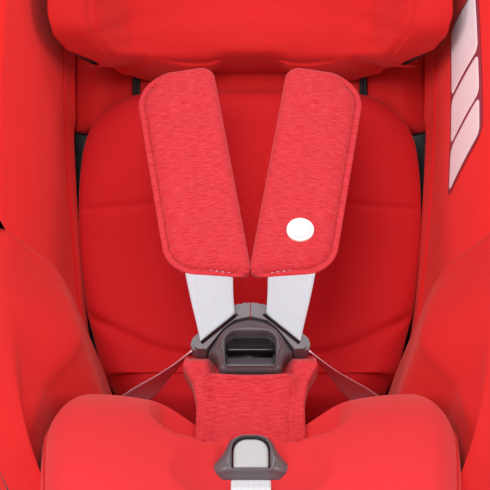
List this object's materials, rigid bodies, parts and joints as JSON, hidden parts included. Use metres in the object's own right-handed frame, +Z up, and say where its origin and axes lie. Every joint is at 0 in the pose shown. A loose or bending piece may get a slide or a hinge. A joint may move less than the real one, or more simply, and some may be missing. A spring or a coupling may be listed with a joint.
{
  "type": "convertible child car seat",
  "caption": "Padded bucket seat with harness, reclining on an arc track in a base with pull-out anchor arms and a height-adjustable headrest",
  "frame": {"origin": "middle of the base, in the plane of the feet's undersides", "axes": "+Z up; -Y is the way the child faces; X runs across the seat"},
  "size_m": [0.4426, 0.6363, 0.662],
  "materials": {
    "tray_plastic": "moulded, fine grain",
    "shell_plastic": "moulded, fine grain",
    "rubber": "matt",
    "steel": "zinc plated",
    "red_cloth": "smooth knitted jersey",
    "red_weave": "heathered plain weave",
    "webbing": "flat woven webbing",
    "dark_webbing": "flat woven webbing",
    "buckle_plastic": "satin moulded",
    "button_black": "polished",
    "button_silver": "satin",
    "release_red": "satin",
    "label": "printed film, left blank",
    "badge": "satin"
  },
  "bodies": {
    "base": {"base_tray": "tray_plastic", "base_cover": "tray_plastic", "base_feet": "rubber", "base_screws": "steel", "recline_rails": "steel", "recline_rack": "steel", "arm_guides": "steel"},
    "arms": {"arm_bars": "steel", "connector_left": "shell_plastic", "connector_right": "shell_plastic", "jaw_pins": "steel"},
    "arm_button_left": {"arm_button_left": "buckle_plastic"},
    "arm_button_right": {"arm_button_right": "buckle_plastic"},
    "jaw_left": {"jaw_left": "steel"},
    "jaw_right": {"jaw_right": "steel"},
    "connector_button_left": {"connector_button_left": "release_red"},
    "connector_button_right": {"connector_button_right": "release_red"},
    "seat": {"seat_shell": "shell_plastic", "rear_cover": "shell_plastic", "recline_sled": "tray_plastic", "slide_blocks": "shell_plastic", "seat_pad": "red_cloth", "back_pad": "red_cloth", "wing_pads": "red_cloth", "hip_bolsters": "red_cloth", "infant_insert": "red_cloth", "instruction_label": "label", "guide_rods": "steel", "height_rack": "steel", "shoulder_pad_left": "red_weave", "shoulder_pad_right": "red_weave", "pad_badge": "badge", "shoulder_strap_left": "webbing", "shoulder_strap_right": "webbing", "lap_strap_left": "webbing", "lap_strap_right": "webbing", "crotch_strap": "webbing", "strap_anchors": "steel", "crotch_pad": "red_weave", "buckle_housing": "buckle_plastic", "buckle_spring": "steel", "adjuster_bezel": "buckle_plastic", "adjuster_frame": "steel", "tether_strap": "dark_webbing", "tether_hook": "steel"},
    "recline_handle": {"recline_handle": "buckle_plastic"},
    "recline_lock": {"recline_lock_bar": "steel"},
    "headrest": {"headrest_carriage": "shell_plastic", "headrest_shell": "shell_plastic", "headrest_pad": "red_cloth", "strap_risers": "webbing"},
    "headrest_lever": {"headrest_lever": "buckle_plastic"},
    "headrest_bolt": {"headrest_bolt": "steel"},
    "buckle_button": {"buckle_button": "button_black"},
    "tongue_left": {"tongue_left": "buckle_plastic"},
    "tongue_right": {"tongue_right": "buckle_plastic"},
    "adjuster_button": {"adjuster_button": "button_silver"},
    "adjuster_strap": {"adjuster_strap": "webbing"},
    "harness_yoke": {"harness_yoke": "steel"},
    "tether_gate": {"tether_gate": "steel"}
  },
  "joints": [
    {"name": "seat_recline", "type": "hinge", "parent": "base", "child": "seat", "pos_m": [0, 0.01, 0.506], "axis": [-1, 0, 0], "range_deg": [0, 16]},
    {"name": "recline_pull", "type": "slide", "parent": "seat", "child": "recline_handle", "axis": [0, -1, 0], "range_m": [0, 0.008], "stiffness_N_per_m": 200},
    {"name": "recline_lock_lift", "type": "slide", "parent": "seat", "child": "recline_lock", "axis": [0, 0, 1], "range_m": [0, 0.0056]},
    {"name": "headrest_height", "type": "slide", "parent": "seat", "child": "headrest", "axis": [0, 0.356, 0.9345], "range_m": [0, 0.102], "deforming": ["strap_risers"]},
    {"name": "headrest_squeeze", "type": "slide", "parent": "headrest", "child": "headrest_lever", "axis": [0, 0.356, 0.9345], "range_m": [0, 0.006], "stiffness_N_per_m": 300},
    {"name": "headrest_bolt_draw", "type": "slide", "parent": "headrest", "child": "headrest_bolt", "axis": [0, -0.9345, 0.356], "range_m": [0, 0.0036]},
    {"name": "arm_extend", "type": "slide", "parent": "base", "child": "arms", "axis": [0, 1, 0], "range_m": [0, 0.09]},
    {"name": "arm_release_left", "type": "slide", "parent": "base", "child": "arm_button_left", "axis": [1, 0, 0], "range_m": [0, 0.004], "stiffness_N_per_m": 300},
    {"name": "arm_release_right", "type": "slide", "parent": "base", "child": "arm_button_right", "axis": [-1, 0, 0], "range_m": [0, 0.004], "stiffness_N_per_m": 300},
    {"name": "connector_release_left", "type": "slide", "parent": "arms", "child": "connector_button_left", "axis": [0, -1, 0], "range_m": [0, 0.007], "stiffness_N_per_m": 300},
    {"name": "connector_release_right", "type": "slide", "parent": "arms", "child": "connector_button_right", "axis": [0, -1, 0], "range_m": [0, 0.007], "stiffness_N_per_m": 300},
    {"name": "jaw_open_left", "type": "hinge", "parent": "arms", "child": "jaw_left", "pos_m": [-0.14, 0.291, 0.045], "axis": [1, 0, 0], "range_deg": [0, 40.5]},
    {"name": "jaw_open_right", "type": "hinge", "parent": "arms", "child": "jaw_right", "pos_m": [0.14, 0.291, 0.045], "axis": [1, 0, 0], "range_deg": [0, 40.5]},
    {"name": "buckle_press", "type": "slide", "parent": "seat", "child": "buckle_button", "axis": [0, 0.6691, -0.7431], "range_m": [0, 0.0035], "stiffness_N_per_m": 400},
    {"name": "tongue_release_left", "type": "slide", "parent": "seat", "child": "tongue_left", "axis": [0, 0.7431, 0.6691], "range_m": [0, 0.025], "deforming": ["shoulder_strap_left", "lap_strap_left"]},
    {"name": "tongue_release_right", "type": "slide", "parent": "seat", "child": "tongue_right", "axis": [0, 0.7431, 0.6691], "range_m": [0, 0.025], "deforming": ["shoulder_strap_right", "lap_strap_right"]},
    {"name": "adjuster_press", "type": "hinge", "parent": "seat", "child": "adjuster_button", "pos_m": [0, -0.24538, 0.25453], "axis": [-1, 0, 0], "range_deg": [0, 10], "stiffness_Nm_per_rad": 0.5},
    {"name": "adjuster_pull", "type": "slide", "parent": "seat", "child": "adjuster_strap", "axis": [0, 0, -1], "range_m": [0, 0.06], "deforming": ["adjuster_strap", "strap_risers"]},
    {"name": "yoke_travel", "type": "slide", "parent": "seat", "child": "harness_yoke", "axis": [0, -0.356, -0.9345], "range_m": [0, 0.06]},
    {"name": "tether_gate_swing", "type": "hinge", "parent": "seat", "child": "tether_gate", "pos_m": [0.0143, 0.26633, 0.40022], "axis": [0, 0.9345, -0.356], "range_deg": [0, 30], "stiffness_Nm_per_rad": 0.02}
  ],
  "couplings": [
    {"joint": "recline_lock_lift", "follows": "recline_pull", "ratio": 0.7},
    {"joint": "headrest_bolt_draw", "follows": "headrest_squeeze", "ratio": 0.6},
    {"joint": "jaw_open_left", "follows": "connector_release_left", "rad_per_m": 100},
    {"joint": "jaw_open_right", "follows": "connector_release_right", "rad_per_m": 100},
    {"joint": "yoke_travel", "follows": "adjuster_pull", "ratio": 1}
  ]
}
